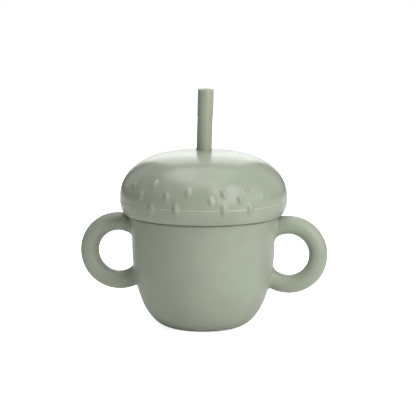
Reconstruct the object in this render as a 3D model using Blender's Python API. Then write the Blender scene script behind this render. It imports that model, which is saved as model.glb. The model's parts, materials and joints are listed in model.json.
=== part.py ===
"""A silicone straw cup for toddlers: a two-handled cup, a domed press-on lid and a straw.

Metres, +Z up. The origin is the centre of the cup's base, on the surface it stands on. The two
ring handles lie along X, and -Y is the front. Three mouldings make up the whole object: the
handles are one with the cup, and the straw sleeve, sealing skirt and bumps are one with the
lid. The straw is a plain tube that pulls out upwards.
"""

import math

import bmesh
import bpy
from mathutils import Matrix, Vector

MM = 0.001

# How finely the round pieces are faceted.
TURN_STEPS = 48
OUTSIDE_STEPS = 12
INSIDE_STEPS = 8
RIM_STEPS = 4
STRAW_STEPS = 24
HANDLE_STEPS = (36, 12)
BUMP_STEPS = (8, 4)
WELD = 0.001 * MM

# Free space between two mouldings that the real, soft ones close up.
FIT_GAP = 0.3 * MM

# Cup: a tapered wall that runs into a deep round bowl, with a straight band at the rim.
CUP_HEIGHT = 66.0 * MM
CUP_RIM_RADIUS = 38.3 * MM
CUP_TAPER = 1.25 * MM
CUP_RIM_BAND = 8.0 * MM
CUP_BOWL_HEIGHT = 42.5 * MM
CUP_BASE_RADIUS = 15.0 * MM
CUP_WALL = 2.4 * MM
CUP_FLOOR = 3.6 * MM
CUP_BOWL_POWERS = (2.4, 1.95)
BASE_RECESS_RADIUS = 11.0 * MM
BASE_RECESS_DEPTH = 0.8 * MM

# Ring handles, level with the lid's lip at their tops.
HANDLE_RING_RADIUS = 15.5 * MM
HANDLE_TUBE_RADIUS = 4.8 * MM
HANDLE_REACH = 7.3 * MM
HANDLE_RISE_ABOVE_LIP = 0.2 * MM

# Lid: a dome that overhangs the cup, with a lip outside the rim and a skirt inside it.
LID_OVERHANG = 5.0 * MM
LID_EQUATOR_ABOVE_RIM = 2.8 * MM
LID_DOME_HEIGHT = 23.2 * MM
LID_DOME_POWERS = (2.9, 1.9)
LID_LIP_DEPTH = 7.4 * MM
LID_LIP_EDGE = 0.7 * MM
LID_LIP_POWERS = (2.0, 2.5)
LID_WALL = 2.4 * MM
LID_SKIRT_WALL = 2.0 * MM
LID_SKIRT_DEPTH = 6.2 * MM
LID_SKIRT_LEAD_IN = 0.6 * MM
SLEEVE_WALL = 2.4 * MM
SLEEVE_LENGTH = 8.0 * MM
SLEEVE_EDGE = 0.4 * MM

# Bumps round the lid: degrees from the front towards +X, height over the equator, lean in degrees.
BUMP_SIZE = Vector((1.6 * MM, 2.8 * MM, 0.95 * MM))
BUMP_SINK = 0.2 * MM
BUMP_REPEATS = 2
BUMPS = (
    (-52.6, 7.9 * MM, 5),
    (-31.7, 9.4 * MM, 18),
    (-40.2, 3.6 * MM, 0),
    (-19, 4.1 * MM, -5),
    (-4, 6.8 * MM, 15),
    (-30.4, -2.9 * MM, 0),
    (-12, -1.8 * MM, 0),
    (11.4, 2.5 * MM, -8),
    (20.2, 5.6 * MM, -12),
    (32, 3.1 * MM, -5),
    (38, 7.5 * MM, -8),
    (51.2, 4.1 * MM, 0),
    (20.3, -2.7 * MM, 0),
    (39.2, -2.3 * MM, 0),
)

# Straw: a plain tube that leans a little in its sleeve and stands just clear of the cup's floor.
STRAW_RADIUS = 4.0 * MM
STRAW_BORE_RADIUS = 2.5 * MM
STRAW_ABOVE_LID = 31.6 * MM
STRAW_LEAN = math.radians(1.5)
STRAW_EDGE = 0.4 * MM
STRAW_FLOOR_GAP = 0.5 * MM
NOTCH_WIDTH = 2.4 * MM
NOTCH_HEIGHT = 2.2 * MM

SAGE = (0.36, 0.42, 0.35, 1.0)
SILICONE_ROUGHNESS = 0.45

# Worked out from the sizes above.
WAIST_RADIUS = CUP_RIM_RADIUS - CUP_TAPER
LID_RADIUS = CUP_RIM_RADIUS + LID_OVERHANG
LIP_HEIGHT = CUP_HEIGHT - LID_LIP_DEPTH
EQUATOR_HEIGHT = CUP_HEIGHT + LID_EQUATOR_ABOVE_RIM
LID_TOP = EQUATOR_HEIGHT + LID_DOME_HEIGHT
SLEEVE_BOTTOM = LID_TOP - LID_WALL - SLEEVE_LENGTH
SLEEVE_SPAN = LID_TOP - SLEEVE_BOTTOM
SLEEVE_MIDDLE = (LID_TOP + SLEEVE_BOTTOM) / 2
SLEEVE_BORE_RADIUS = (
    STRAW_RADIUS / math.cos(STRAW_LEAN)
    + SLEEVE_SPAN / 2 * math.tan(STRAW_LEAN)
    + FIT_GAP
)
SLEEVE_RADIUS = SLEEVE_BORE_RADIUS + SLEEVE_WALL
HANDLE_DISTANCE = WAIST_RADIUS + HANDLE_REACH
HANDLE_HEIGHT = (
    LIP_HEIGHT + HANDLE_RISE_ABOVE_LIP - HANDLE_RING_RADIUS - HANDLE_TUBE_RADIUS
)


def superellipse(centre, reach, powers, start, end, steps):
    """Points (r, z) from angle start to angle end, in degrees, on a superellipse round centre."""
    points = []
    for i in range(steps + 1):
        angle = math.radians(start + (end - start) * i / steps)
        across = max(0.0, abs(math.cos(angle))) ** (2 / powers[0])
        up = abs(math.sin(angle)) ** (2 / powers[1])
        points.append((
            centre[0] + math.copysign(across, math.cos(angle)) * reach[0],
            centre[1] + math.copysign(up, math.sin(angle)) * reach[1],
        ))
    return points


def arc(centre, radius, start, end, steps):
    """Points (r, z) on a round arc from angle start to angle end, in degrees."""
    return superellipse(centre, (radius, radius), (2, 2), start, end, steps)


def new_object(name, mesh):
    made = bpy.data.objects.new(name, mesh)
    bpy.context.scene.collection.objects.link(made)
    return made


def object_from_bmesh(name, bm):
    bmesh.ops.recalc_face_normals(bm, faces=bm.faces)
    mesh = bpy.data.meshes.new(name)
    bm.to_mesh(mesh)
    bm.free()
    mesh.shade_smooth()
    mesh.set_sharp_from_angle(angle=math.radians(35))
    return new_object(name, mesh)


def turned(name, outline, steps=TURN_STEPS, ring=False):
    """Spins an outline of (r, z) points round Z. A ring's outline is closed and stays off the axis."""
    bm = bmesh.new()
    points = [bm.verts.new((r, 0, z)) for r, z in outline]
    ends = points[1:] + points[:1] if ring else points[1:]
    edges = [bm.edges.new(pair) for pair in zip(points, ends)]
    bmesh.ops.spin(
        bm,
        geom=points + edges,
        axis=(0, 0, 1),
        cent=(0, 0, 0),
        angle=2 * math.pi,
        steps=steps,
        use_merge=True,
    )
    bmesh.ops.remove_doubles(bm, verts=bm.verts, dist=WELD)
    return object_from_bmesh(name, bm)


def combine(obj, other, operation):
    """Joins or cuts obj with a helper object, which stays out of the model."""
    modifier = obj.modifiers.new(f"{operation.lower()}_{other.name}", "BOOLEAN")
    modifier.operation = operation
    modifier.object = other
    other.hide_render = True
    other.display_type = "WIRE"


def paint(obj, name, colour=SAGE, roughness=SILICONE_ROUGHNESS):
    material = bpy.data.materials.new(name)
    material.use_nodes = True
    shader = material.node_tree.nodes["Principled BSDF"]
    shader.inputs["Base Color"].default_value = colour
    shader.inputs["Roughness"].default_value = roughness
    shader.inputs["Metallic"].default_value = 0.0
    material.diffuse_color = colour
    obj.data.materials.append(material)


def cup_side(inset, floor, steps):
    """The cup's side from the edge of its base to its rim, moved inwards by inset, on a floor."""
    bowl = superellipse(
        (CUP_BASE_RADIUS, CUP_BOWL_HEIGHT),
        (WAIST_RADIUS - inset - CUP_BASE_RADIUS, CUP_BOWL_HEIGHT - floor),
        CUP_BOWL_POWERS,
        -90,
        0,
        steps,
    )
    wall_top = CUP_HEIGHT - CUP_RIM_BAND
    return bowl + [(CUP_RIM_RADIUS - inset, wall_top)]


def cup_outline():
    half_wall = CUP_WALL / 2
    rim_centre = (CUP_RIM_RADIUS - half_wall, CUP_HEIGHT - half_wall)
    underside = [
        (0, BASE_RECESS_DEPTH),
        (BASE_RECESS_RADIUS - BASE_RECESS_DEPTH, BASE_RECESS_DEPTH),
        (BASE_RECESS_RADIUS, 0),
    ]
    outside = cup_side(0, 0, OUTSIDE_STEPS)
    rim = arc(rim_centre, half_wall, 0, 180, RIM_STEPS)
    inside = cup_side(CUP_WALL, CUP_FLOOR, INSIDE_STEPS)
    return underside + outside + rim + inside[::-1] + [(0, CUP_FLOOR)]


def handle_ring(side):
    """A ring handle on the +X or -X side, ending inside the cup's wall."""
    bpy.ops.mesh.primitive_torus_add(
        major_radius=HANDLE_RING_RADIUS,
        minor_radius=HANDLE_TUBE_RADIUS,
        major_segments=HANDLE_STEPS[0],
        minor_segments=HANDLE_STEPS[1],
        location=(side * HANDLE_DISTANCE, 0, HANDLE_HEIGHT),
        rotation=(math.pi / 2, 0, 0),
    )
    ring = bpy.context.object
    ring.name = "handle_ring_right" if side > 0 else "handle_ring_left"
    return ring


def cup_core():
    """The cup's inside up to the middle of its wall, which trims the handles' hidden ends."""
    half_wall = CUP_WALL / 2
    side = cup_side(half_wall, CUP_FLOOR / 2, INSIDE_STEPS)
    top = (CUP_RIM_RADIUS - half_wall, CUP_HEIGHT + CUP_WALL)
    return turned("cup_core", [(0, CUP_FLOOR / 2)] + side + [top, (0, top[1])])


def make_cup():
    cup = turned("cup_body", cup_outline())
    core = cup_core()
    for side in (-1, 1):
        ring = handle_ring(side)
        combine(ring, core, "DIFFERENCE")
        combine(cup, ring, "UNION")
    paint(cup, "silicone_cup")
    return cup


def dome(inset, hole, steps):
    """The dome's curve from a hole at its top to the equator, moved inwards by inset."""
    curve = superellipse(
        (0, EQUATOR_HEIGHT),
        (LID_RADIUS - inset, LID_DOME_HEIGHT - inset),
        LID_DOME_POWERS,
        90,
        0,
        steps,
    )
    return [(r, z) for r, z in curve if r > hole + FIT_GAP]


def lid_outline():
    groove_radius = CUP_RIM_RADIUS + FIT_GAP
    groove_top = CUP_HEIGHT + FIT_GAP
    lip_edge_radius = groove_radius + LID_LIP_EDGE
    skirt_radius = CUP_RIM_RADIUS - CUP_WALL - FIT_GAP
    skirt_bottom = CUP_HEIGHT - LID_SKIRT_DEPTH
    skirt_inner = skirt_radius - LID_SKIRT_WALL
    outside = dome(0, SLEEVE_BORE_RADIUS + SLEEVE_EDGE, OUTSIDE_STEPS)
    lip = superellipse(
        (lip_edge_radius, EQUATOR_HEIGHT),
        (LID_RADIUS - lip_edge_radius, EQUATOR_HEIGHT - LIP_HEIGHT),
        LID_LIP_POWERS,
        0,
        -90,
        INSIDE_STEPS,
    )[1:]
    groove = [
        (groove_radius, LIP_HEIGHT),
        (groove_radius, groove_top),
        (skirt_radius, groove_top),
    ]
    skirt = [
        (skirt_radius, skirt_bottom + LID_SKIRT_LEAD_IN),
        (skirt_radius - LID_SKIRT_LEAD_IN, skirt_bottom),
        (skirt_inner, skirt_bottom),
        (skirt_inner, EQUATOR_HEIGHT),
    ]
    inside = dome(LID_WALL, SLEEVE_RADIUS, INSIDE_STEPS)[::-1]
    sleeve = [
        (SLEEVE_RADIUS, LID_TOP - LID_WALL),
        (SLEEVE_RADIUS, SLEEVE_BOTTOM),
        (SLEEVE_BORE_RADIUS, SLEEVE_BOTTOM),
        (SLEEVE_BORE_RADIUS, LID_TOP - SLEEVE_EDGE),
        (SLEEVE_BORE_RADIUS + SLEEVE_EDGE, LID_TOP),
    ]
    return outside + lip + groove + skirt + inside + sleeve


def lid_surface(height):
    """The lid's outer radius at a height over its equator, and that surface's slope dr/dz."""
    across, up = LID_DOME_POWERS
    reach = LID_DOME_HEIGHT
    centre = 0.0
    if height < 0:
        across, up = LID_LIP_POWERS
        reach = EQUATOR_HEIGHT - LIP_HEIGHT
        centre = CUP_RIM_RADIUS + FIT_GAP + LID_LIP_EDGE

    def radius(h):
        share = min(1.0, abs(h) / reach)
        return centre + (LID_RADIUS - centre) * (1 - share**up) ** (1 / across)

    step = 0.01 * MM
    return radius(height), (radius(height + step) - radius(height - step)) / (2 * step)


def lid_bumps():
    """All the bumps as one helper, each an oval grain half sunk in the dome."""
    bm = bmesh.new()
    for repeat in range(BUMP_REPEATS):
        for degrees, height, lean in BUMPS:
            turn = math.radians(degrees + 360 / BUMP_REPEATS * repeat)
            radius, slope = lid_surface(height)
            outward = Vector((math.sin(turn), -math.cos(turn), 0))
            sideways = Vector((math.cos(turn), math.sin(turn), 0))
            upward = (outward * slope + Vector((0, 0, 1))).normalized()
            normal = sideways.cross(upward).normalized()
            centre = outward * radius + Vector((0, 0, EQUATOR_HEIGHT + height)) - normal * BUMP_SINK
            axes = Matrix((sideways, upward, normal)).transposed().to_4x4()
            bmesh.ops.create_uvsphere(
                bm,
                u_segments=BUMP_STEPS[0],
                v_segments=BUMP_STEPS[1],
                radius=1.0,
                matrix=Matrix.Translation(centre)
                @ axes
                @ Matrix.Rotation(math.radians(-lean), 4, "Z")
                @ Matrix.Diagonal((*BUMP_SIZE, 1)),
            )
    return object_from_bmesh("lid_bumps", bm)


def make_lid():
    lid = turned("lid", lid_outline(), ring=True)
    combine(lid, lid_bumps(), "UNION")
    paint(lid, "silicone_lid")
    return lid


def straw_outline():
    """The straw's wall along its own axis, with 0 at the middle of the lid's sleeve."""
    top = (LID_TOP + STRAW_ABOVE_LID - SLEEVE_MIDDLE) / math.cos(STRAW_LEAN)
    low_side = STRAW_RADIUS * math.tan(STRAW_LEAN)
    bottom = (CUP_FLOOR + STRAW_FLOOR_GAP - SLEEVE_MIDDLE) / math.cos(STRAW_LEAN) + low_side
    edge = STRAW_EDGE
    return [
        (STRAW_BORE_RADIUS, top - edge),
        (STRAW_BORE_RADIUS + edge, top),
        (STRAW_RADIUS - edge, top),
        (STRAW_RADIUS, top - edge),
        (STRAW_RADIUS, bottom),
        (STRAW_BORE_RADIUS, bottom),
    ]


def straw_notch(straw_bottom):
    """A cutter for the two notches that keep the straw's end from sealing on the floor."""
    bpy.ops.mesh.primitive_cube_add(size=1.0)
    cutter = bpy.context.object
    cutter.name = "straw_notch_cutter"
    cutter.data.transform(Matrix.Diagonal((4 * STRAW_RADIUS, NOTCH_WIDTH, 2 * NOTCH_HEIGHT, 1)))
    cutter.data.transform(Matrix.Translation((0, 0, straw_bottom)))
    return cutter


def make_straw():
    outline = straw_outline()
    straw = turned("straw", outline, STRAW_STEPS, ring=True)
    notch = straw_notch(min(z for _, z in outline))
    for piece in (straw, notch):
        piece.location = (0, 0, SLEEVE_MIDDLE)
        piece.rotation_euler = (0, STRAW_LEAN, 0)
    combine(straw, notch, "DIFFERENCE")
    paint(straw, "silicone_straw")
    return straw


def main():
    for leftover in list(bpy.data.objects):
        bpy.data.objects.remove(leftover)
    make_cup()
    make_lid()
    make_straw()


main()
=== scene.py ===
"""Gives the silicone straw cup its finished look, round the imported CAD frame.

Three silicone mouldings make up the cup, and each is built here as a fine mesh that stands for
one CAD node: the two-handled cup, the domed lid with its band of bumps, and the straw. Overall
sizes come from the frame, and the smaller ones are fields of each moulding's class. Lengths are
in metres, +Z is up, -Y is the front, and the two handles lie along X.
"""

import json
import logging
import math
from dataclasses import dataclass, field
from enum import Enum
from typing import Any, Callable

import bmesh
import bpy
import numpy as np
from mathutils import Matrix, Vector

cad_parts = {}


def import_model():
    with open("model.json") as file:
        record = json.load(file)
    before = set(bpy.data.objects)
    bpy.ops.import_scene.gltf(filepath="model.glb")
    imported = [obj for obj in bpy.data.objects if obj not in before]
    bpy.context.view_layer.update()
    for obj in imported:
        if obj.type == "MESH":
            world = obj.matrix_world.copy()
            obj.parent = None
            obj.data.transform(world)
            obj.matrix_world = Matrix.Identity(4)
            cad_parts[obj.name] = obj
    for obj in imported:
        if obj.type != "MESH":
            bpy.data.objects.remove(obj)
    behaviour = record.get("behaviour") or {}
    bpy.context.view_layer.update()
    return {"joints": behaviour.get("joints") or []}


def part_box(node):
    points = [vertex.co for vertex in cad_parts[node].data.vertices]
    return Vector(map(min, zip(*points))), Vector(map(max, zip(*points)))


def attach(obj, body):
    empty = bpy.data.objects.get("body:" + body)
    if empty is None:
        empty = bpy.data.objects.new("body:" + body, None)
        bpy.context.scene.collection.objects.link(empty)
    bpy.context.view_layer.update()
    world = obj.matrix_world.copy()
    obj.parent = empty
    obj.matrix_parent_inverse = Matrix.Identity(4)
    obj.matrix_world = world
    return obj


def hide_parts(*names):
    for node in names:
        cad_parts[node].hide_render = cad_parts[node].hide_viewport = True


MM = 0.001
LOG = logging.getLogger("straw_cup")

# The sleeve hugs the straw, and this keeps the two surfaces just apart.
SQUEEZED_GAP = 0.05 * MM

# Lengths below the first are raised to it before they divide, and a point that is nearer to a
# surface than the second counts as on it.
TINY = 1e-9
TOUCHING = 1e-7

# This many points at a time are measured against an outline, to save memory.
BATCH = 4000

Point = tuple[float, float]
Corner = tuple[float, float, float]
Field = tuple[np.ndarray, np.ndarray]


class Body(Enum):
    """The CAD bodies that the finished pieces ride on."""

    CUP = "cup"
    LID = "lid"
    STRAW = "straw"


class Node(Enum):
    """The CAD nodes that the finished pieces stand for."""

    CUP = "cup_body"
    LID = "lid"
    STRAW = "straw"


# ---------------------------------------------------------------- outlines and meshes


def superellipse(
    centre: Point, reach: Point, powers: Point, start: float, end: float, steps: int
) -> list[Point]:
    """Draws part of a superellipse, the curve that the bowl, dome and lip follow.

    Args:
        centre: Its middle, as radius and height.
        reach: How far it goes out and up from there.
        powers: How square it is across and up; 2 and 2 make an ellipse.
        start: The first angle, in degrees, from straight out.
        end: The last angle, in degrees.
        steps: How many straight pieces it has.

    Returns:
        The points along it, from start to end.
    """
    points = []
    for angle in np.radians(np.linspace(start, end, steps + 1)):
        across = abs(math.cos(angle)) ** (2 / powers[0])
        up = abs(math.sin(angle)) ** (2 / powers[1])
        points.append((
            centre[0] + math.copysign(across, math.cos(angle)) * reach[0],
            centre[1] + math.copysign(up, math.sin(angle)) * reach[1],
        ))
    return points


def rounded(corners: list[Corner], steps: int = 4) -> list[Point]:
    """Rounds the corners of a line, but not its two ends.

    Args:
        corners: Radius, height and rounding of each corner; a rounding of 0 stays sharp.
        steps: How many straight pieces each arc has.

    Returns:
        The points of the line with an arc at each rounded corner.
    """
    points = [corners[0][:2]]
    for before, here, after in zip(corners, corners[1:], corners[2:]):
        corner = Vector(here[:2])
        if not here[2]:
            points.append(tuple(corner))
            continue
        back = (Vector(before[:2]) - corner).normalized()
        ahead = (Vector(after[:2]) - corner).normalized()
        half = back.angle(ahead) / 2
        centre = corner + (back + ahead).normalized() * (here[2] / math.sin(half))
        first = corner + back * (here[2] / math.tan(half)) - centre
        last = corner + ahead * (here[2] / math.tan(half)) - centre
        for i in range(steps + 1):
            points.append(tuple(centre + first.lerp(last, i / steps).normalized() * here[2]))
    return points + [corners[-1][:2]]


def respaced(points: list[Point], spacing: Callable[[np.ndarray], np.ndarray]) -> np.ndarray:
    """Spreads points along a line so that they lie close together only where that is needed.

    Args:
        points: The line, finer than the result.
        spacing: Gives the wanted distance between points at each point of the line.

    Returns:
        The new points, n by 2, with the same two ends.
    """
    line = np.array(points)
    lengths = np.linalg.norm(np.diff(line, axis=0), axis=1)
    wanted = spacing((line[1:] + line[:-1]) / 2)
    along = np.concatenate(([0.0], np.cumsum(lengths / wanted)))
    places = np.linspace(0.0, along[-1], math.ceil(along[-1]) + 1)
    return np.column_stack([np.interp(places, along, line[:, i]) for i in (0, 1)])


def spun(outline: np.ndarray, steps: int) -> np.ndarray:
    """Turns an outline round the Z axis.

    Args:
        outline: Its points, n by 2, as radius and height.
        steps: How many copies go round.

    Returns:
        The points of the turned surface, rows by steps by 3, from the front towards +X.
    """
    turn = np.linspace(0.0, 2 * math.pi, steps, endpoint=False)
    radius, height = outline[:, :1], outline[:, 1:]
    flat = np.ones((1, steps))
    return np.stack((radius * np.sin(turn), -radius * np.cos(turn), height * flat), axis=2)


def smooth_object(name: str, mesh: bpy.types.Mesh) -> bpy.types.Object:
    """Makes a smooth-shaded object from a mesh and puts it in the scene.

    Args:
        name: The object's name.
        mesh: Its mesh.

    Returns:
        The object.
    """
    mesh.shade_smooth()
    made = bpy.data.objects.new(name, mesh)
    bpy.context.scene.collection.objects.link(made)
    return made


def ring_mesh(name: str, grid: np.ndarray) -> bpy.types.Mesh:
    """Makes a closed ring of quads, such as a tube or a lid with a hole, from a turned surface.

    Args:
        name: The mesh's name.
        grid: Its points, rows by steps by 3. The last row joins the first.

    Returns:
        The closed mesh, with its faces pointing out.
    """
    rows, steps, _ = grid.shape
    index = np.arange(rows * steps).reshape(rows, steps)
    below = np.roll(index, -1, axis=0)
    beside, across = np.roll(index, -1, axis=1), np.roll(below, -1, axis=1)
    quads = np.stack((index, beside, across, below), axis=2)
    mesh = bpy.data.meshes.new(name)
    mesh.from_pydata(grid.reshape(-1, 3).tolist(), [], quads.reshape(-1, 4).tolist())
    work = bmesh.new()
    work.from_mesh(mesh)
    bmesh.ops.recalc_face_normals(work, faces=work.faces)
    work.to_mesh(mesh)
    work.free()
    return mesh


@dataclass(frozen=True)
class TurnedField:
    """The distance to the surface of a turned solid, negative inside it.

    Attributes:
        outline: Points (radius, height) from the axis at the bottom, up the side, to the axis.
    """

    outline: np.ndarray

    def measure(self, points: np.ndarray) -> Field:
        """Measures how far points lie from the solid's surface.

        Args:
            points: The points, n by 3.

        Returns:
            Their distances and the directions, n by 3, in which those grow.
        """
        radius = np.maximum(np.hypot(points[:, 0], points[:, 1]), TINY)
        flat = np.column_stack((radius, points[:, 2]))
        batches = np.array_split(flat, len(flat) // BATCH + 1)
        parts = [self._measure_flat(batch) for batch in batches]
        distance = np.concatenate([part[0] for part in parts])
        slope = np.concatenate([part[1] for part in parts])
        around = points[:, :2] / radius[:, None]
        return distance, np.column_stack((around * slope[:, :1], slope[:, 1]))

    def _measure_flat(self, flat: np.ndarray) -> Field:
        """Measures points (radius, height) against the outline.

        Args:
            flat: The points, n by 2.

        Returns:
            Their distances and the directions, n by 2, in which those grow.
        """
        start, run = self.outline[:-1], np.diff(self.outline, axis=0)
        normals = np.column_stack((run[:, 1], -run[:, 0])) / np.linalg.norm(run, axis=1)[:, None]
        ends = np.vstack((normals[:1], normals[1:] + normals[:-1], normals[-1:]))
        ends /= np.linalg.norm(ends, axis=1)[:, None]
        offset = flat[:, None] - start
        share = np.clip((offset * run).sum(2) / (run**2).sum(1), 0.0, 1.0)
        away = offset - share[:, :, None] * run
        nearest = np.argmin((away**2).sum(2), axis=1)
        rows = np.arange(len(flat))
        away, share = away[rows, nearest], share[rows, nearest]
        facing = normals[nearest]
        facing[share == 0.0] = ends[nearest[share == 0.0]]
        facing[share == 1.0] = ends[nearest[share == 1.0] + 1]
        distance = np.linalg.norm(away, axis=1)
        sign = np.where((away * facing).sum(1) < 0.0, -1.0, 1.0)
        pointing = away / np.maximum(distance, TOUCHING)[:, None] * sign[:, None]
        slope = np.where((distance < TOUCHING)[:, None], facing, pointing)
        return distance * sign, slope


@dataclass(frozen=True)
class RingField:
    """The distance to the surface of a ring that stands in the XZ plane.

    Attributes:
        centre: The ring's middle, as X and Z.
        radius: The radius of the circle along the middle of its tube.
        tube: The tube's radius.
    """

    centre: Point
    radius: float
    tube: float

    def measure(self, points: np.ndarray) -> Field:
        """Measures how far points lie from the ring's surface.

        Args:
            points: The points, n by 3.

        Returns:
            Their distances and the directions, n by 3, in which those grow.
        """
        offset = points[:, (0, 2)] - np.array(self.centre)
        across = np.maximum(np.linalg.norm(offset, axis=1), TINY)
        tube = np.column_stack((across - self.radius, points[:, 1]))
        distance = np.maximum(np.linalg.norm(tube, axis=1), TINY)
        outward = tube / distance[:, None]
        flat = offset / across[:, None] * outward[:, :1]
        return distance - self.tube, np.column_stack((flat[:, 0], outward[:, 1], flat[:, 1]))


def filleted(one: Field, other: Field, fillet: float) -> Field:
    """Joins two solids' fields with a fillet where their surfaces meet.

    Args:
        one: The first solid's distances and their directions.
        other: The second one's.
        fillet: About the radius of the fillet.

    Returns:
        The joined solid's distances and their directions.
    """
    share = np.clip(0.5 + 0.5 * (other[0] - one[0]) / fillet, 0.0, 1.0)
    distance = other[0] + (one[0] - other[0]) * share - fillet * share * (1.0 - share)
    slope = other[1] + (one[1] - other[1]) * share[:, None]
    return distance, slope


# ---------------------------------------------------------------- finishes


def linear(code: str) -> tuple[float, float, float, float]:
    """Turns an sRGB hex colour into the linear one that shaders take.

    Args:
        code: The colour, such as "#a0a898".

    Returns:
        Linear red, green and blue, and an alpha of 1.
    """
    shares = [int(code[i : i + 2], 16) / 255 for i in (1, 3, 5)]
    return (*(s / 12.92 if s <= 0.04045 else ((s + 0.055) / 1.055) ** 2.4 for s in shares), 1.0)


def add_node(
    tree: bpy.types.NodeTree, kind: str, settings: dict[str, Any], links: dict[str, Any]
) -> bpy.types.Node:
    """Adds one shader node.

    Args:
        tree: The node tree that gets it.
        kind: Its type, such as "ShaderNodeBump".
        settings: Values for its inputs by name, or else for its own properties.
        links: Output sockets that feed its inputs, by input name.

    Returns:
        The new node.
    """
    node = tree.nodes.new(kind)
    for key, value in settings.items():
        if key in node.inputs:
            node.inputs[key].default_value = value
        else:
            setattr(node, key, value)
    for key, source in links.items():
        tree.links.new(source, node.inputs[key])
    return node


@dataclass(frozen=True)
class Silicone:
    """Food-grade silicone rubber, coloured right through with a sage pigment.

    The pigment is never stirred in quite evenly, so the colour drifts a little from place to
    place. Light goes a millimetre or two into the rubber, which softens every shadow's edge.

    Attributes:
        name: The material's name: what it is and how its surface was made.
        colour: Its colour where there is the most pigment.
        pale_colour: Its colour where there is the least.
        drift_size: How wide the patches of more and less pigment are.
        roughness: How much its sheen is spread.
        roughness_drift: How much that changes from place to place.
        polish_size: How wide the patches of more and less polish are.
        grain: Height of the fine texture that its mould leaves.
        grain_size: How wide the pits of that texture are.
        ripple: Height of the slow ripple left as it shrinks in the mould.
        ripple_size: How wide that ripple is.
        index: Its index of refraction.
        clouding: How much of the light goes into it, not just off its surface.
        cloud_depth: How far that light travels before it comes out.
        cloud_colours: How far its red, green and blue travel, beside that.
    """

    name: str
    colour: str = "#949b8c"
    pale_colour: str = "#9ea696"
    drift_size: float = 14 * MM
    roughness: float = 0.36
    roughness_drift: float = 0.04
    polish_size: float = 5 * MM
    grain: float = 0.002 * MM
    grain_size: float = 0.6 * MM
    ripple: float = 0.006 * MM
    ripple_size: float = 9 * MM
    index: float = 1.42
    clouding: float = 0.15
    cloud_depth: float = 1.5 * MM
    cloud_colours: Corner = (1.0, 1.0, 0.8)

    def material(self) -> bpy.types.Material:
        """Makes the material, with its colour drift, sheen and texture in nodes.

        Returns:
            The material.
        """
        material = bpy.data.materials.new(self.name)
        material.use_nodes = True
        tree = material.node_tree
        shader = tree.nodes["Principled BSDF"]
        place = add_node(tree, "ShaderNodeTexCoord", {}, {}).outputs["Object"]

        def noise(size: float, detail: float) -> bpy.types.NodeSocket:
            """Adds noise.

            Args:
                size: How wide its patches are, in metres.
                detail: How many finer layers it has.

            Returns:
                Its output, from 0 to 1.
            """
            settings = {"Scale": 1.0 / size, "Detail": detail, "Roughness": 0.5}
            node = add_node(tree, "ShaderNodeTexNoise", settings, {"Vector": place})
            return node.outputs["Fac"]

        # Pigment drifts slowly over the wall. The noise hardly leaves the ramp's 0.1 to 0.9.
        links = {"Fac": noise(self.drift_size, 2.0)}
        drift = add_node(tree, "ShaderNodeValToRGB", {}, links)
        ends = ((0.1, self.colour), (0.9, self.pale_colour))
        for element, (position, colour) in zip(drift.color_ramp.elements, ends):
            element.position = position
            element.color = linear(colour)
        tree.links.new(drift.outputs["Color"], shader.inputs["Base Color"])

        # The mould's polish changes over a few millimetres, and the sheen with it.
        settings = {
            "From Min": 0.3,
            "From Max": 0.7,
            "To Min": self.roughness - self.roughness_drift,
            "To Max": self.roughness + self.roughness_drift,
        }
        links = {"Value": noise(self.polish_size, 2.0)}
        sheen = add_node(tree, "ShaderNodeMapRange", settings, links)
        tree.links.new(sheen.outputs["Result"], shader.inputs["Roughness"])

        # Grit leaves pits of about 0.05 mm, too fine to show, so they are drawn far wider.
        links = {"Height": noise(self.grain_size, 2.0)}
        grain = add_node(tree, "ShaderNodeBump", {"Distance": self.grain}, links)
        links = {"Height": noise(self.ripple_size, 1.0), "Normal": grain.outputs["Normal"]}
        ripple = add_node(tree, "ShaderNodeBump", {"Distance": self.ripple}, links)
        tree.links.new(ripple.outputs["Normal"], shader.inputs["Normal"])

        shader.inputs["Metallic"].default_value = 0.0
        shader.inputs["IOR"].default_value = self.index
        shader.inputs["Subsurface Weight"].default_value = self.clouding
        shader.inputs["Subsurface Radius"].default_value = self.cloud_colours
        shader.inputs["Subsurface Scale"].default_value = self.cloud_depth
        material.diffuse_color = linear(self.colour)
        return material


# Blasted tool steel leaves the cup a soft satin that shows the light but no clear reflection.
CUP_SILICONE = Silicone("silicone_moulded_satin")

# The lid's tool is polished a little finer, so its dome mirrors the softboxes as a broad sheen.
LID_SILICONE = Silicone(
    "silicone_moulded_fine_satin", roughness=0.23, roughness_drift=0.03, ripple=0.004 * MM
)

# Where the mould's halves meet, the silicone leaves a hair-thin flash. Its paler colour is a
# painted highlight:
# the light that the flash's ridge catches, drawn into the colour as a pale line.
FLASH_HIGHLIGHT_SILICONE = Silicone(
    "silicone_flash_painted_highlight",
    colour="#a6ac9d",
    pale_colour="#afb5a6",
    roughness=0.23,
    roughness_drift=0.03,
)

# The straw is extruded through a smooth die and keeps a plain, even sheen.
STRAW_SILICONE = Silicone(
    "silicone_extruded_smooth",
    colour="#969c8a",
    pale_colour="#a0a794",
    roughness=0.32,
    grain=0.001 * MM,
    ripple=0.004 * MM,
)


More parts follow.
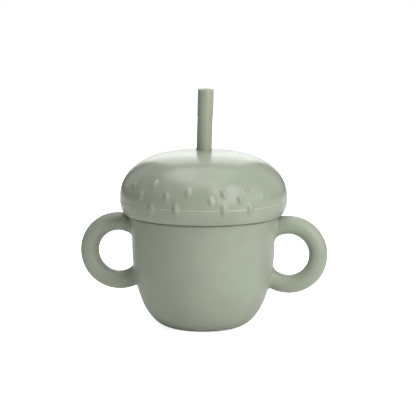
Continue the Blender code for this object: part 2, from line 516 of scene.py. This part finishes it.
@dataclass(frozen=True)
class StudioPaper:
    """Matt white paper on a light table, which takes soft shadows and gives no glare.

    Attributes:
        name: The material's name: what it is and how its surface was made.
        colour: The paper's colour.
        roughness: How much its sheen is spread.
        glow: How brightly the table shines through it.
        gloss: How strong its sheen is, beside a polished surface's 0.5.
        tooth: Height of the paper's texture.
        tooth_size: How wide its bumps are; real fibres are finer, and would not show.
    """

    name: str
    colour: str = "#f4f4f2"
    roughness: float = 0.9
    glow: float = 0.0
    gloss: float = 0.2
    tooth: float = 0.01 * MM
    tooth_size: float = 0.8 * MM

    def material(self) -> bpy.types.Material:
        """Makes the material, with the faint tooth of the paper as a bump.

        Returns:
            The material.
        """
        material = bpy.data.materials.new(self.name)
        material.use_nodes = True
        tree = material.node_tree
        shader = tree.nodes["Principled BSDF"]
        shader.inputs["Base Color"].default_value = linear(self.colour)
        shader.inputs["Roughness"].default_value = self.roughness
        shader.inputs["Specular IOR Level"].default_value = self.gloss
        shader.inputs["Emission Color"].default_value = linear(self.colour)
        shader.inputs["Emission Strength"].default_value = self.glow
        tooth = add_node(tree, "ShaderNodeTexNoise", {"Scale": 1.0 / self.tooth_size}, {})
        links = {"Height": tooth.outputs["Fac"]}
        bump = add_node(tree, "ShaderNodeBump", {"Distance": self.tooth}, links)
        tree.links.new(bump.outputs["Normal"], shader.inputs["Normal"])
        return material


# ---------------------------------------------------------------- mouldings


def place_piece(piece: bpy.types.Object, body: Body, node: Node) -> None:
    """Hands a finished piece to the frame.

    Args:
        piece: The piece.
        body: The CAD body that it rides on.
        node: The CAD node that it stands for.
    """
    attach(piece, body.value)
    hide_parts(node.value)
    LOG.info("%s: %d faces, rides on %s", piece.name, len(piece.data.polygons), body.value)


@dataclass
class Cup:
    """The cup and its two ring handles, one moulding.

    Its surface is exact: a wall turned round Z and two round rings, with a fillet where they
    meet. An even net of small faces is laid over the CAD solid and drawn on to that surface.

    Attributes:
        height: From the base to the rim.
        rim_radius: Outside radius of the straight band at the rim.
        handle_tip: How far the handles reach from the cup's axis.
        lip_height: Height of the lid's lip, which the tops of the handles come level with.
        taper: How much narrower the waist is than the rim, in radius.
        taper_power: How late the wall widens again above the waist.
        rim_band: Height of the straight band at the rim.
        bowl_height: Height of the waist, where the bowl's curve ends.
        bowl_powers: How square the bowl's curve is, across and up.
        base_radius: Radius of the flat that it stands on.
        wall: Thickness of the wall.
        floor: Thickness of the floor.
        recess_radius: Radius of the recess under the base.
        recess_depth: Depth of that recess.
        recess_roundings: How round its inner and outer corners are.
        ring_radius: Radius of the circle along the middle of a handle's tube.
        tube_radius: Radius of that tube.
        rise_above_lip: How far the handles' tops stand above the lid's lip.
        crease_depth: Depth of the fine crease that the lip seats over.
        crease_width: Half its width.
        crease_drop: How far it lies below the lip.
        wall_reach: How near the wall a face is that may be split for the crease.
        root_fillet: Rounding where the handles run into the wall.
        bowl_steps: How many straight pieces the bowl's curve is drawn with.
        wall_steps: How many heights the wall above it is drawn at.
        crease_steps: How many heights the crease is drawn at.
        rim_steps: How many straight pieces each half of the rim's rounding has.
        net_size: Size of the net's faces.
        net_passes: How many times the net is drawn on to the surface.
        even_passes: How many of those it is evened out before.
        finish: What it is made of.
    """

    height: float
    rim_radius: float
    handle_tip: float
    lip_height: float
    taper: float = 1.25 * MM
    taper_power: float = 1.5
    rim_band: float = 8.0 * MM
    bowl_height: float = 42.5 * MM
    bowl_powers: Point = (2.4, 1.95)
    base_radius: float = 15.0 * MM
    wall: float = 2.4 * MM
    floor: float = 3.6 * MM
    recess_radius: float = 11.0 * MM
    recess_depth: float = 0.8 * MM
    recess_roundings: Point = (1.2 * MM, 0.5 * MM)
    ring_radius: float = 15.5 * MM
    tube_radius: float = 4.8 * MM
    rise_above_lip: float = 0.2 * MM
    crease_depth: float = 0.9 * MM
    crease_width: float = 0.5 * MM
    crease_drop: float = 0.05 * MM
    wall_reach: float = 1.0 * MM
    root_fillet: float = 1.7 * MM
    bowl_steps: int = 60
    wall_steps: int = 40
    crease_steps: int = 33
    rim_steps: int = 8
    net_size: float = 0.8 * MM
    net_passes: int = 6
    even_passes: int = 3
    finish: Silicone = CUP_SILICONE

    def side(self, inset: float, floor: float) -> list[Point]:
        """Draws the cup's side from the edge of its base to where its rim's rounding starts.

        Args:
            inset: How far inside the outer surface it lies.
            floor: The height that the bowl starts from.

        Returns:
            The points of the side, from the bottom up.
        """
        waist = self.rim_radius - self.taper - inset
        bowl = superellipse(
            (self.base_radius, self.bowl_height),
            (waist - self.base_radius, self.bowl_height - floor),
            self.bowl_powers,
            -90,
            0,
            self.bowl_steps,
        )
        band_start = self.height - self.rim_band
        crease = self.lip_height - self.crease_drop
        crease_reach = 4 * self.crease_width
        heights = np.union1d(
            np.linspace(self.bowl_height, self.height - self.wall, self.wall_steps)[1:],
            np.linspace(crease - crease_reach, crease + crease_reach, self.crease_steps),
        )
        share = np.clip((heights - self.bowl_height) / (band_start - self.bowl_height), 0.0, 1.0)
        depth = 0.0 if inset else self.crease_depth
        pinch = depth * np.exp(-(((heights - crease) / self.crease_width) ** 2))
        radius = waist + self.taper * share**self.taper_power - pinch
        return bowl + list(zip(radius.tolist(), heights.tolist()))

    def fields(self) -> tuple[TurnedField, TurnedField, list[RingField]]:
        """Describes the cup as solids.

        Returns:
            The cup as if it were full, the hollow in it, and the two rings.
        """
        half_wall = self.wall / 2
        middle = self.rim_radius - half_wall
        round_start = self.height - half_wall
        recess_in, recess_out = self.recess_roundings
        recess = [
            (0.0, self.recess_depth, 0.0),
            (self.recess_radius - self.recess_depth, self.recess_depth, recess_in),
            (self.recess_radius, 0.0, recess_out),
            (self.base_radius, 0.0, 0.0),
        ]
        rim = ((middle, round_start), (half_wall, half_wall), (2, 2))
        outer_rim = superellipse(*rim, 0, 90, self.rim_steps)
        inner_rim = superellipse(*rim, 180, 90, self.rim_steps)
        above = self.height + self.wall
        full = rounded(recess)[:-1] + self.side(0.0, 0.0) + outer_rim + [(0.0, self.height)]
        hollow = [(0.0, self.floor), *self.side(self.wall, self.floor), *inner_rim]
        hollow += [(middle, above), (0.0, above)]
        distance = self.handle_tip - self.ring_radius - self.tube_radius
        level = self.lip_height + self.rise_above_lip - self.ring_radius - self.tube_radius
        rings = [
            RingField((side * distance, level), self.ring_radius, self.tube_radius)
            for side in (-1, 1)
        ]
        return TurnedField(np.array(full)), TurnedField(np.array(hollow)), rings

    def net(self) -> bpy.types.Mesh:
        """Lays an even net of quads over the CAD solid.

        Returns:
            The net, with finer faces where the crease runs.
        """
        solid = bpy.data.objects[Node.CUP.value]
        work = bpy.data.objects.new("cup_net", solid.data.copy())
        bpy.context.scene.collection.objects.link(work)
        remesh = work.modifiers.new("even_net", "REMESH")
        remesh.mode = "VOXEL"
        remesh.voxel_size = self.net_size
        shown = work.evaluated_get(bpy.context.evaluated_depsgraph_get())
        mesh = bpy.data.meshes.new_from_object(shown)
        mesh.materials.clear()
        bpy.data.objects.remove(work)
        self.refine(mesh)
        return mesh

    def refine(self, mesh: bpy.types.Mesh) -> None:
        """Splits the net's faces finer where the crease under the lid's lip runs.

        Args:
            mesh: The net, which is changed.
        """
        reach = 3 * self.crease_width
        work = bmesh.new()
        work.from_mesh(mesh)
        band = {
            vertex
            for vertex in work.verts
            if abs(vertex.co.z - self.lip_height) < reach
            and abs(math.hypot(vertex.co.x, vertex.co.y) - self.rim_radius) < self.wall_reach
        }
        edges = [edge for edge in work.edges if band.issuperset(edge.verts)]
        bmesh.ops.subdivide_edges(work, edges=edges, cuts=2, use_grid_fill=True)
        work.to_mesh(mesh)
        work.free()

    def draw_on(self, mesh: bpy.types.Mesh) -> None:
        """Moves the net's points on to the cup's exact surface, and evens them out along it.

        Args:
            mesh: The net, which is changed.
        """
        full, hollow, rings = self.fields()
        points = np.empty(len(mesh.vertices) * 3)
        mesh.vertices.foreach_get("co", points)
        points = points.reshape(-1, 3)
        edges = np.empty(len(mesh.edges) * 2, dtype=np.int64)
        mesh.edges.foreach_get("vertices", edges)
        edges = edges.reshape(-1, 2)
        both = np.concatenate((edges, edges[:, ::-1]))
        count = np.bincount(both[:, 0], minlength=len(points))[:, None]
        ends, starts = both[:, 1], both[:, 0]
        for step in range(self.net_passes):
            if 0 < step <= self.even_passes:
                near = [np.bincount(starts, points[ends, i], len(points)) for i in range(3)]
                points = (points + np.column_stack(near) / count) / 2
            joined = full.measure(points)
            for ring in rings:
                joined = filleted(joined, ring.measure(points), self.root_fillet)
            distance, slope = joined
            depth, inward = hollow.measure(points)
            inside = -depth > distance
            distance = np.where(inside, -depth, distance)
            slope = np.where(inside[:, None], -inward, slope)
            # Between two surfaces the joined field is less steep; this keeps the move short.
            steepness = np.maximum((slope**2).sum(1), 0.25)
            points = points - slope * (distance / steepness)[:, None]
        mesh.vertices.foreach_set("co", points.ravel())
        mesh.update()

    def build(self) -> bpy.types.Object:
        """Builds the cup and hands it to the frame.

        Returns:
            The finished piece.
        """
        mesh = self.net()
        self.draw_on(mesh)
        mesh.name = "cup_moulding"
        mesh.materials.append(self.finish.material())
        piece = smooth_object("cup_moulding", mesh)
        place_piece(piece, Body.CUP, Node.CUP)
        return piece


@dataclass(frozen=True)
class Bump:
    """One raised bead on the lid.

    Attributes:
        angle: Where it is, in degrees from the front towards +X.
        height: Its height over the lid's widest line.
        lean: How far its top leans towards +X, in degrees.
        size: How large it is, beside the usual one.
        proud: How far it stands out, beside the usual one.
    """

    angle: float
    height: float
    lean: float
    size: float = 1.0
    proud: float = 1.0


@dataclass
class Lid:
    """The press-on lid: a dome with a band of bumps, a lip, a sealing skirt and a straw sleeve.

    Attributes:
        radius: Outside radius at its widest line.
        top: Height of the dome's top.
        lip_height: Height of the lip's lower edge.
        rim_radius: Outside radius of the cup's rim.
        rim_height: Height of the cup's rim.
        bore: Radius of the hole that the straw goes through.
        lean: How far the straw, and the hole with it, leans towards +X per unit of height.
        rise: How far its widest line is above the cup's rim.
        dome_powers: How square the dome's curve is, across and up.
        lip_powers: The same for the lip's curve, below the widest line.
        lip_trim: How far stretching over the rim draws the lip's edge up.
        lip_edge: Width of the lip's lower edge.
        wall: Thickness of the dome.
        cup_wall: Thickness of the cup's wall, which the groove fits over.
        gap: What the groove keeps clear of the cup.
        skirt_wall: Thickness of the sealing skirt.
        skirt_depth: How far it goes down inside the cup's mouth.
        sleeve_wall: Thickness of the straw's sleeve.
        sleeve_length: Its length under the dome.
        hole_rounding: Rounding of the hole's edge.
        edge_rounding: Rounding of the inside's smallest corners.
        line_drop: How far the parting line is below the widest line.
        line_width: Width of the step at the parting line.
        line_height: Height of that step.
        line_fade: How far below the line the step takes to die away.
        flash_width: Width of the flash along the line.
        groove_depth: Depth of the groove under the flash.
        bead_width: Width of the bead along the lip's lower edge.
        bead_height: Height of that bead.
        bump_half_width: Half the width of a usual bump.
        bump_half_height: Half its height along the lid.
        bump_rise: How far it stands out.
        bump_softness: How gently its sides rise; 1 gives a plain round bead.
        bump_repeats: How many times the pattern of bumps comes round.
        hug_reach: Radius within which the lid leans with the straw.
        steps: How many points go round it.
        dome_steps: How many points the dome's curve is first drawn with.
        lip_steps: The same for the lip's curve.
        band_height: How far above the widest line the band of bumps reaches.
        edge_height: How far above the lip's edge its fine points reach.
        fine: Distance between points at the parting line and the lip's edge.
        medium: The same over the bumps.
        coarse: The same over the dome.
        hidden: The same inside the dome.
        finish: What it is made of.
        flash_highlight_finish: The paler finish on the flash, a painted highlight along the
            parting line.
        bumps: The pattern of bumps.
    """

    radius: float
    top: float
    lip_height: float
    rim_radius: float
    rim_height: float
    bore: float
    lean: float
    rise: float = 2.8 * MM
    dome_powers: Point = (2.9, 1.9)
    lip_powers: Point = (2.0, 2.5)
    lip_trim: float = 0.4 * MM
    lip_edge: float = 1.1 * MM
    wall: float = 2.4 * MM
    cup_wall: float = 2.4 * MM
    gap: float = 0.3 * MM
    skirt_wall: float = 2.0 * MM
    skirt_depth: float = 6.2 * MM
    sleeve_wall: float = 2.4 * MM
    sleeve_length: float = 8.0 * MM
    hole_rounding: float = 0.25 * MM
    edge_rounding: float = 0.3 * MM
    line_drop: float = 2.1 * MM
    line_width: float = 0.26 * MM
    line_height: float = 0.18 * MM
    line_fade: float = 3.0 * MM
    flash_width: float = 0.45 * MM
    groove_depth: float = 0.12 * MM
    bead_width: float = 0.7 * MM
    bead_height: float = 0.2 * MM
    bump_half_width: float = 2.0 * MM
    bump_half_height: float = 3.2 * MM
    bump_rise: float = 0.7 * MM
    bump_softness: float = 1.8
    bump_repeats: int = 2
    hug_reach: float = 9.0 * MM
    steps: int = 480
    dome_steps: int = 400
    lip_steps: int = 160
    band_height: float = 15 * MM
    edge_height: float = 1.5 * MM
    fine: float = 0.12 * MM
    medium: float = 0.55 * MM
    coarse: float = 1.5 * MM
    hidden: float = 2.5 * MM
    finish: Silicone = LID_SILICONE
    flash_highlight_finish: Silicone = FLASH_HIGHLIGHT_SILICONE
    bumps: tuple[Bump, ...] = (
        Bump(-51.2, 8.1 * MM, 5, 0.95),
        Bump(-31.2, 9.5 * MM, 18, 1.15),
        Bump(-40.2, 3.8 * MM, 0, 1.0),
        Bump(-19, 4.1 * MM, -5, 1.05),
        Bump(-4, 6.8 * MM, 15),
        Bump(-30.4, -2.7 * MM, 0, 1.3, 1.5),
        Bump(-12, -1.8 * MM, 0, 1.2, 1.5),
        Bump(11.4, 2.5 * MM, -8, 1.0, 1.2),
        Bump(20.6, 6.4 * MM, -12, 1.1, 1.05),
        Bump(31.8, 3.1 * MM, -5, 1.05, 1.6),
        Bump(38, 7.6 * MM, -8, 0.95, 1.3),
        Bump(50.2, 4.3 * MM, 0, 0.9),
        Bump(20.3, -2.4 * MM, 0, 1.15, 1.5),
        Bump(39.2, -2.1 * MM, 0, 1.25, 1.8),
    )

    @property
    def equator(self) -> float:
        """Height of the lid's widest line."""
        return self.rim_height + self.rise

    @property
    def lip(self) -> float:
        """Height of the lip's lower edge, which stretching over the rim draws up a little."""
        return self.lip_height + self.lip_trim

    def dome(self, inset: float, hole: float) -> list[Point]:
        """Draws the dome's curve.

        Args:
            inset: How far inside the outer surface it lies.
            hole: Radius that it starts from.

        Returns:
            The points from the hole to the widest line.
        """
        reach = (self.radius - inset, self.top - self.equator - inset)
        centre = (0.0, self.equator)
        curve = superellipse(centre, reach, self.dome_powers, 90, 0, self.dome_steps)
        return [point for point in curve if point[0] > hole]

    def outside(self) -> np.ndarray:
        """Draws the outer surface from the straw's hole to the lip's lower edge.

        Returns:
            Its points, n by 2.
        """
        edge = self.rim_radius + self.gap + self.lip_edge
        reach = (self.radius - edge, self.equator - self.lip)
        centre = (edge, self.equator)
        lip = superellipse(centre, reach, self.lip_powers, 0, -90, self.lip_steps)
        curve = self.dome(0.0, self.bore + self.hole_rounding) + lip[1:]
        line = self.equator - self.line_drop
        band_top = self.equator + self.band_height

        def spacing(middle: np.ndarray) -> np.ndarray:
            """Chooses fine at the line and edge, medium over the bumps, coarse over the dome.

            Args:
                middle: Where along the curve, n by 2.

            Returns:
                The wanted distance between points there.
            """
            height = middle[:, 1]
            wanted = np.where(height > band_top, self.coarse, self.medium)
            at_line = abs(height - line) < 3 * self.line_width
            at_edge = height < self.lip + self.edge_height
            return np.where(at_line | at_edge, self.fine, wanted)

        return respaced(curve, spacing)

    def inside(self) -> list[Point]:
        """Draws the groove over the rim, the skirt, the dome's inside and the straw's sleeve.

        Returns:
            The points, on from the lip's lower edge.
        """
        groove = self.rim_radius + self.gap
        groove_top = self.rim_height + self.gap
        skirt = self.rim_radius - self.cup_wall - self.gap
        skirt_bottom = self.rim_height - self.skirt_depth
        skirt_inner = skirt - self.skirt_wall
        sleeve = self.bore + self.sleeve_wall
        sleeve_bottom = self.top - self.wall - self.sleeve_length
        small = self.edge_rounding
        under = rounded([
            (groove + self.lip_edge, self.lip, 0.0),
            (groove, self.lip, small),
            (groove, groove_top, small),
            (skirt, groove_top, small),
            (skirt, skirt_bottom, 2 * small),
            (skirt_inner, skirt_bottom, 2 * small),
            (skirt_inner, self.equator, 4 * small),
            (self.radius - self.wall, self.equator, 0.0),
        ])[1:]
        ceiling = respaced(
            self.dome(self.wall, sleeve + self.wall)[::-1],
            lambda middle: np.full(len(middle), self.hidden),
        )
        start = tuple(ceiling[-1])
        bore = rounded([
            (*start, 0.0),
            (sleeve, start[1], 4 * small),
            (sleeve, sleeve_bottom, 2 * small),
            (self.bore, sleeve_bottom, small),
            (self.bore, self.top, self.hole_rounding),
            (self.bore + 2 * self.hole_rounding, self.top, 0.0),
        ])[1:-1]
        return under + [tuple(point) for point in ceiling[1:]] + bore

    @staticmethod
    def ledge(height: np.ndarray, width: float) -> np.ndarray:
        """Steps from 1 below a height to 0 above it, over about the width."""
        return 0.5 - 0.5 * np.tanh(2.0 * height / width)

    def raised(self, outline: np.ndarray, rows: int) -> np.ndarray:
        """Works out how far the outer surface stands proud of its plain turned shape.

        Args:
            outline: The whole section, with the outer surface first.
            rows: How many of its points belong to the outer surface.

        Returns:
            The height of the bumps and the parting line, rows by steps.
        """
        outer = outline[:rows]
        lengths = np.linalg.norm(np.diff(outer, axis=0), axis=1)
        along = -np.concatenate(([0.0], np.cumsum(lengths)))
        along -= np.interp(0.0, self.equator - outer[:, 1], along)
        turn = np.linspace(0.0, 2 * math.pi, self.steps, endpoint=False)
        height = np.zeros((rows, self.steps))
        for repeat in range(self.bump_repeats):
            for bump in self.bumps:
                centre = math.radians(bump.angle + 360 * repeat / self.bump_repeats)
                middle = np.interp(-bump.height, self.equator - outer[:, 1], along)
                sideways = np.angle(np.exp(1j * (turn - centre)))[None] * outer[:, :1]
                up = (along - middle)[:, None]
                lean = math.radians(bump.lean)
                short = (sideways * math.cos(lean) - up * math.sin(lean)) / self.bump_half_width
                long = (sideways * math.sin(lean) + up * math.cos(lean)) / self.bump_half_height
                inside = np.maximum(1.0 - (short**2 + long**2) / bump.size**2, 0.0)
                height += bump.proud * self.bump_rise * inside**self.bump_softness
        line = self.equator - self.line_drop
        bead_top = self.lip + self.bead_width
        above_line = outer[:, 1] - line
        fade = np.exp(np.minimum(above_line, 0.0) / self.line_fade)
        ledge = self.line_height * self.ledge(above_line, self.line_width) * fade
        groove = (above_line + self.flash_width) / self.line_width
        ledge -= self.groove_depth * np.exp(-((groove - 1.0) ** 2))
        bead = self.bead_height * self.ledge(outer[:, 1] - bead_top, self.line_width)
        return height + (ledge + bead)[:, None]

    def paint_flash_highlight(self, mesh: bpy.types.Mesh) -> None:
        """Paints a highlight on the parting line's flash as a paler finish, except across the
        bumps.

        Args:
            mesh: The lid's mesh, whose second material is the flash's painted highlight.
        """
        top = self.equator - self.line_drop + self.line_width / 2
        crossing = [
            math.radians(bump.angle + 360 * repeat / self.bump_repeats)
            for bump in self.bumps
            for repeat in range(self.bump_repeats)
            if bump.height < 0.0
        ]
        for face in mesh.polygons:
            x, y, z = face.center
            outside = math.hypot(x, y) > self.radius - self.wall
            turn = math.atan2(x, -y)
            nearest = min(abs(math.remainder(turn - angle, 2 * math.pi)) for angle in crossing)
            clear = nearest * self.radius > self.bump_half_width
            # These faces get the paler material, a highlight painted along the flash.
            if outside and clear and 0.0 <= top - z < self.flash_width:
                face.material_index = 1

    def build(self) -> bpy.types.Object:
        """Builds the lid and hands it to the frame.

        Returns:
            The finished piece.
        """
        outer = self.outside()
        outline = np.vstack((outer, self.inside()))
        grid = spun(outline, self.steps)
        run = np.gradient(outer, axis=0)
        normal = np.column_stack((-run[:, 1], run[:, 0]))
        normal /= np.linalg.norm(normal, axis=1)[:, None]
        proud = self.raised(outline, len(outer))
        grid[: len(outer)] += spun(normal, self.steps) * proud[:, :, None]
        near_hole = (self.hug_reach - outline[:, 0]) / (self.hug_reach - self.bore)
        hugging = np.clip(near_hole, 0.0, 1.0)
        middle = self.top - (self.wall + self.sleeve_length) / 2
        grid[:, :, 0] += (hugging * (outline[:, 1] - middle) * self.lean)[:, None]
        mesh = ring_mesh("lid_moulding", grid)
        mesh.materials.append(self.finish.material())
        # The second material is a paler colour that paints a highlight along the flash.
        mesh.materials.append(self.flash_highlight_finish.material())
        self.paint_flash_highlight(mesh)
        piece = smooth_object("lid_moulding", mesh)
        place_piece(piece, Body.LID, Node.LID)
        return piece


@dataclass
class Straw:
    """The straw: a plain tube with rounded ends and two notches where it stands on the floor.

    Attributes:
        pivot: The point that its axis passes through, in the middle of the lid's sleeve.
        direction: The way its axis points.
        top: Height that its end reaches.
        bottom: Height of the lowest point of its other end.
        radius: Its outside radius.
        bore: Its inside radius.
        rounding: Rounding of its upper end; the lower end has a third of that.
        notch_height: Height of the notches in its lower end.
        notch_width: Width of the notches.
        notch_power: How square they are; 2 makes them half round.
        notch_reach: Where the tube is whole again, in notch heights above the end.
        steps: How many points go round it.
        row_spacing: The longest distance between points along it.
        finish: What it is made of.
    """

    pivot: Vector
    direction: Vector
    top: float
    bottom: float
    radius: float = 4.0 * MM
    bore: float = 2.5 * MM
    rounding: float = 0.6 * MM
    notch_height: float = 2.2 * MM
    notch_width: float = 2.4 * MM
    notch_power: int = 4
    notch_reach: float = 2.5
    steps: int = 96
    row_spacing: float = 4.0 * MM
    finish: Silicone = STRAW_SILICONE

    def outline(self) -> np.ndarray:
        """Draws the tube's wall along its own axis, with 0 at the pivot.

        Returns:
            The points of its closed section, n by 2.
        """
        slope = math.hypot(self.direction.x, self.direction.y)
        high = (self.top - self.pivot.z - self.radius * slope) / self.direction.z
        low = (self.bottom - self.pivot.z + self.radius * slope) / self.direction.z
        corners = rounded([
            (self.radius, (high + low) / 2, 0.0),
            (self.radius, high, self.rounding),
            (self.bore, high, self.rounding),
            (self.bore, low, self.rounding / 3),
            (self.radius, low, self.rounding / 3),
            (self.radius, (high + low) / 2, 0.0),
        ])[:-1]
        return respaced_ring(corners, self.row_spacing)

    def build(self) -> bpy.types.Object:
        """Builds the straw and hands it to the frame.

        Returns:
            The finished piece.
        """
        outline = self.outline()
        grid = spun(outline, self.steps)
        low = outline[:, 1].min()
        across = np.abs(grid[:, :, 1]) / (self.notch_width / 2)
        open_part = np.maximum(1.0 - across**self.notch_power, 0.0)
        notch = self.notch_height * open_part ** (1 / self.notch_power)
        reach = self.notch_reach * self.notch_height
        fade = np.clip(1.0 - (grid[:, :, 2] - low) / reach, 0.0, 1.0)
        grid[:, :, 2] += notch * fade
        lean = self.direction.to_track_quat("Z", "Y").to_matrix()
        places = grid.reshape(-1, 3) @ np.array(lean).T + np.array(self.pivot)
        mesh = ring_mesh("straw_tube", places.reshape(grid.shape))
        mesh.materials.append(self.finish.material())
        piece = smooth_object("straw_tube", mesh)
        place_piece(piece, Body.STRAW, Node.STRAW)
        return piece


def respaced_ring(points: list[Point], spacing: float) -> np.ndarray:
    """Splits the long stretches of a closed line.

    Args:
        points: Its corners; the last joins the first.
        spacing: The longest stretch that stays whole.

    Returns:
        The points, n by 2.
    """
    made = []
    for start, end in zip(points, points[1:] + points[:1]):
        parts = max(1, math.ceil(math.dist(start, end) / spacing))
        for i in range(parts):
            share = i / parts
            made.append([a + (b - a) * share for a, b in zip(start, end)])
    return np.array(made)


# ---------------------------------------------------------------- studio


@dataclass(frozen=True)
class Softbox:
    """One soft studio light, aimed at the cup.

    Attributes:
        name: What it does.
        azimuth: Where it stands, in degrees from the front towards +X.
        elevation: How high it stands, in degrees.
        width: The angle that it spans sideways, in degrees.
        height: The angle that it spans up and down, in degrees.
        brightness: Its radiance, in W/m2/sr; white paper under an even sky of 1 looks white.
        distance: How far away it is.
    """

    name: str
    azimuth: float
    elevation: float
    width: float
    height: float
    brightness: float
    distance: float = 1.2

    def build(self, aim: Vector) -> bpy.types.Object:
        """Sets the light up, facing a point.

        Args:
            aim: The point that it faces.

        Returns:
            The light.
        """
        lamp = bpy.data.lights.new(self.name, "AREA")
        lamp.shape = "RECTANGLE"
        lamp.size = 2 * self.distance * math.tan(math.radians(self.width / 2))
        lamp.size_y = 2 * self.distance * math.tan(math.radians(self.height / 2))
        lamp.energy = 4 * math.pi * lamp.size * lamp.size_y * self.brightness
        made = bpy.data.objects.new(self.name, lamp)
        turn, tilt = math.radians(self.azimuth), math.radians(self.elevation)
        away = Vector((
            math.sin(turn) * math.cos(tilt),
            -math.cos(turn) * math.cos(tilt),
            math.sin(tilt),
        ))
        made.location = aim + away * self.distance
        made.rotation_mode = "QUATERNION"
        made.rotation_quaternion = away.to_track_quat("Z", "Y")
        made.visible_camera = False
        bpy.context.scene.collection.objects.link(made)
        return made


@dataclass
class Studio:
    """A glowing white table, soft lights, white surroundings and the camera.

    Attributes:
        aim: The point that the camera faces.
        light_aim: The point that the lights face.
        camera_place: Where the camera stands.
        camera_roll: How far it is tilted sideways, in degrees.
        lens: Its focal length, in millimetres.
        floor_radius: Radius of the table.
        floor_steps: How many straight pieces its edge has.
        sheet_drop: How far below the seen paper the bounce sheet lies.
        seen_paper: The paper that the camera sees.
        bounce_paper: The paper that bounces light up on to the cup.
        softboxes: The lights.
    """

    aim: Vector = field(default_factory=lambda: Vector((2.1 * MM, 2.1 * MM, 61.5 * MM)))
    light_aim: Vector = field(default_factory=lambda: Vector((0.0, 0.0, 55 * MM)))
    camera_place: Vector = field(default_factory=lambda: Vector((0.1036, -0.8822, 0.1948)))
    camera_roll: float = 0.28
    lens: float = 149.8
    floor_radius: float = 1.15
    floor_steps: int = 96
    sheet_drop: float = 0.2 * MM
    seen_paper: StudioPaper = field(
        default_factory=lambda: StudioPaper("paper_matt_white_lit_from_below", glow=0.98)
    )
    bounce_paper: StudioPaper = field(default_factory=lambda: StudioPaper("paper_matt_white"))
    softboxes: tuple[Softbox, ...] = (
        Softbox("key_high", 45, 39, 32, 28, 1.03),
        Softbox("key_low", 45, 13, 32, 24, 1.06),
        Softbox("key_side", 75, 20, 30, 40, 0.34),
        Softbox("wall_low", 187, 8, 32, 14, 0.34),
        Softbox("wall_middle", 187, 24, 32, 18, 0.62),
        Softbox("wall_high", 187, 43, 34, 20, 0.56),
        Softbox("overhead", 0, 89.9, 50, 50, 0.42),
        Softbox("overhead_left", 270, 70, 34, 26, 0.54),
        Softbox("overhead_front", 0, 63, 30, 23, 0.46),
        Softbox("rim_right", 140, 20, 24, 30, 0.11),
        Softbox("rim_left", 230, 20, 24, 30, 0.14),
    )

    def build_floor(self, name: str, paper: StudioPaper, height: float) -> bpy.types.Object:
        """Rolls out a round sheet of paper.

        Args:
            name: The sheet's name.
            paper: What it is made of.
            height: The height that it lies at.

        Returns:
            The sheet, marked as part of the stage.
        """
        work = bmesh.new()
        bmesh.ops.create_circle(
            work, cap_ends=True, segments=self.floor_steps, radius=self.floor_radius
        )
        mesh = bpy.data.meshes.new(name)
        work.to_mesh(mesh)
        work.free()
        mesh.materials.append(paper.material())
        floor = bpy.data.objects.new(name, mesh)
        floor.location.z = height
        bpy.context.scene.collection.objects.link(floor)
        return floor

    def build_floors(self) -> None:
        """Lays the glowing sheet that is seen, and under it one that only bounces light."""
        seen = self.build_floor("paper_floor", self.seen_paper, 0.0)
        seen.visible_diffuse = False
        seen.visible_glossy = False
        seen.visible_shadow = False
        bounce = self.build_floor("bounce_sheet", self.bounce_paper, -self.sheet_drop)
        bounce.visible_camera = False

    def build_camera(self) -> bpy.types.Object:
        """Sets up the camera, a little above the cup and to its right.

        Returns:
            The camera.
        """
        data = bpy.data.cameras.new("camera")
        data.lens = self.lens
        camera = bpy.data.objects.new("camera", data)
        camera.location = self.camera_place
        camera.rotation_mode = "QUATERNION"
        facing = (self.camera_place - self.aim).to_track_quat("Z", "Y")
        roll = Matrix.Rotation(math.radians(self.camera_roll), 3, "Z").to_quaternion()
        camera.rotation_quaternion = facing @ roll
        bpy.context.scene.collection.objects.link(camera)
        bpy.context.scene.camera = camera
        return camera

    def build_surroundings(self) -> None:
        """Makes everything past the table plain white, without lighting the cup."""
        world = bpy.data.worlds.new("white_room")
        world.use_nodes = True
        background = world.node_tree.nodes["Background"]
        background.inputs["Color"].default_value = (1.0, 1.0, 1.0, 1.0)
        background.inputs["Strength"].default_value = 1.0
        bpy.context.scene.world = world
        world.cycles_visibility.diffuse = False
        world.cycles_visibility.glossy = False
        bpy.context.scene.view_settings.view_transform = "Standard"

    def build(self) -> None:
        """Builds the floor, camera, surroundings and lights."""
        self.build_floors()
        self.build_camera()
        self.build_surroundings()
        for softbox in self.softboxes:
            softbox.build(self.light_aim)
        LOG.info("studio: table, camera and %d lights", len(self.softboxes))


def main() -> None:
    """Builds every moulding round the frame, then the studio."""
    logging.basicConfig(level=logging.INFO, format="%(message)s")
    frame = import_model()
    cup_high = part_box(Node.CUP.value)[1]
    lid_low, lid_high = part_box(Node.LID.value)
    straw_low, straw_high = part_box(Node.STRAW.value)
    axes = {joint["name"]: Vector(joint["axis"]) for joint in frame["joints"]}

    cup = Cup(cup_high[2], cup_high[1], cup_high[0], lid_low[2])
    cup.build()
    direction = axes["straw_pull"]
    lid = Lid(
        radius=lid_high[1],
        top=lid_high[2],
        lip_height=lid_low[2],
        rim_radius=cup_high[1],
        rim_height=cup_high[2],
        bore=Straw.radius + SQUEEZED_GAP,
        lean=direction.x / direction.z,
    )
    lid.build()
    sleeve_middle = lid.top - (lid.wall + lid.sleeve_length) / 2
    straw = Straw(Vector((0, 0, sleeve_middle)), direction, straw_high[2], straw_low[2])
    straw.build()
    Studio().build()


if __name__ == "__main__":
    main()
